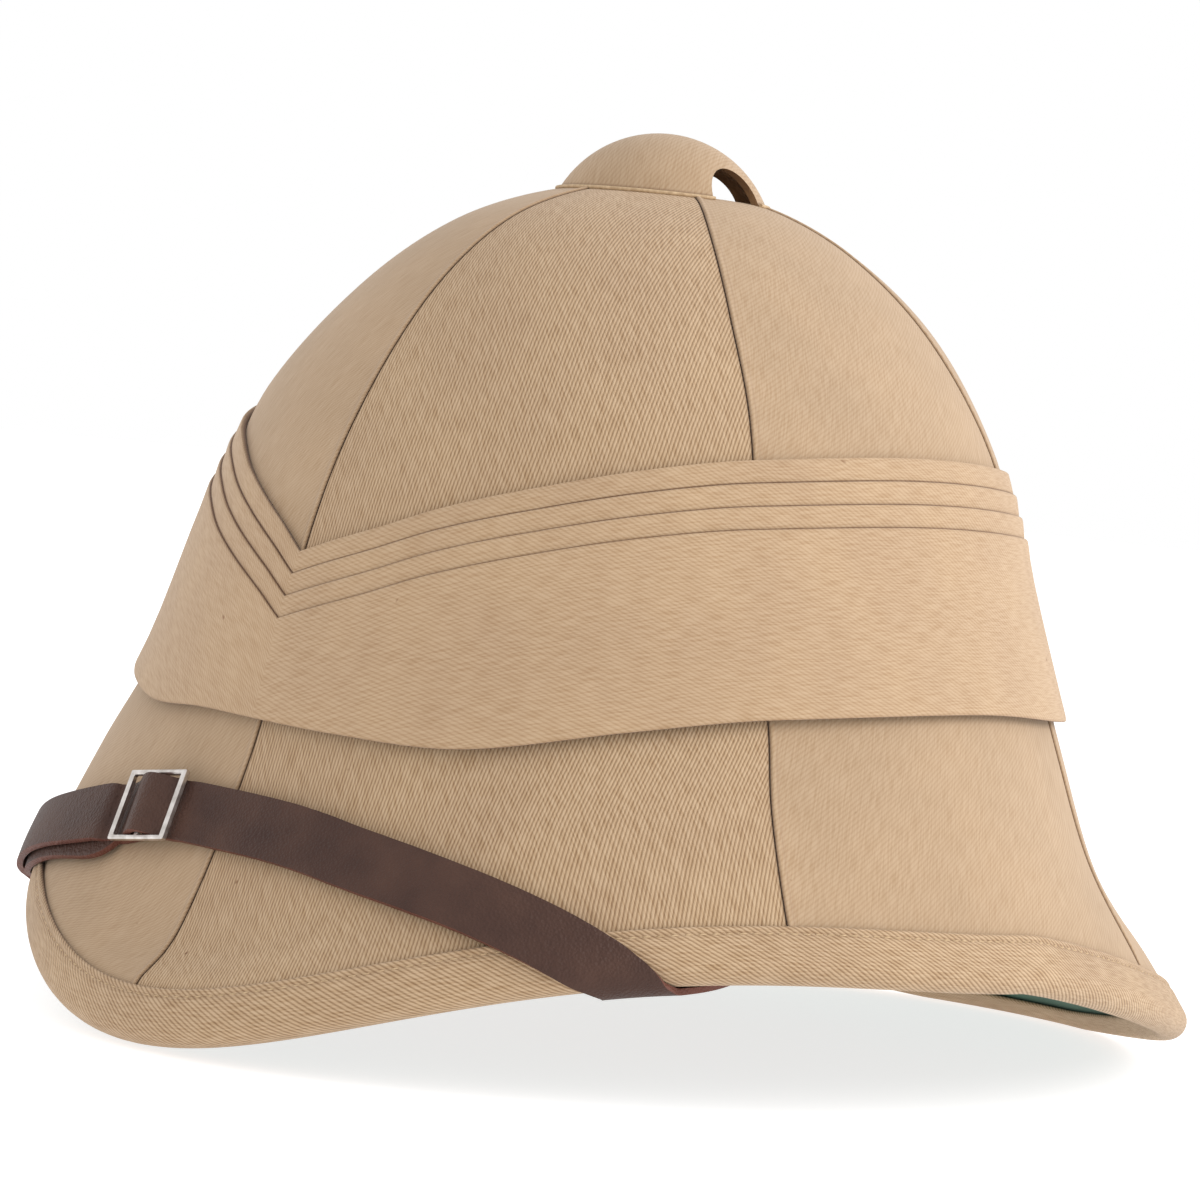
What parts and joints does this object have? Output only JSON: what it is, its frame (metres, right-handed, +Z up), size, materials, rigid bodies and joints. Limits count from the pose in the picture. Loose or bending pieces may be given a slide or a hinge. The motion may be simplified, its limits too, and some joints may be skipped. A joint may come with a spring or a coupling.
{
  "type": "pith helmet",
  "caption": "Khaki cloth sun helmet with a pleated band, a vented air dome, a bound sloping brim and a leather chin strap worn up over the peak.",
  "frame": {"origin": "centre of the helmet's plan, on the floor that the brim's edge rests on", "axes": "+Z up, -Y the wearer's front, +X the wearer's left"},
  "size_m": [0.2854, 0.3386, 0.2285],
  "materials": {
    "cork": "pressed cork, matt",
    "khaki_twill": "cotton twill, matt",
    "green_cotton": "plain cotton, matt",
    "brown_leather": "smooth, slightly worn",
    "nickel_plate": "nickel plated, lightly worn"
  },
  "bodies": {
    "root": {"crown_and_brim": "cork", "cover_panel_front_left": "khaki_twill", "cover_panel_left": "khaki_twill", "cover_panel_rear_left": "khaki_twill", "cover_panel_rear_right": "khaki_twill", "cover_panel_right": "khaki_twill", "cover_panel_front_right": "khaki_twill", "puggaree": "khaki_twill", "brim_binding": "khaki_twill", "ventilator_dome": "khaki_twill", "brim_lining": "green_cotton", "chin_strap": "brown_leather", "slide_buckle": "nickel_plate"}
  },
  "joints": []
}
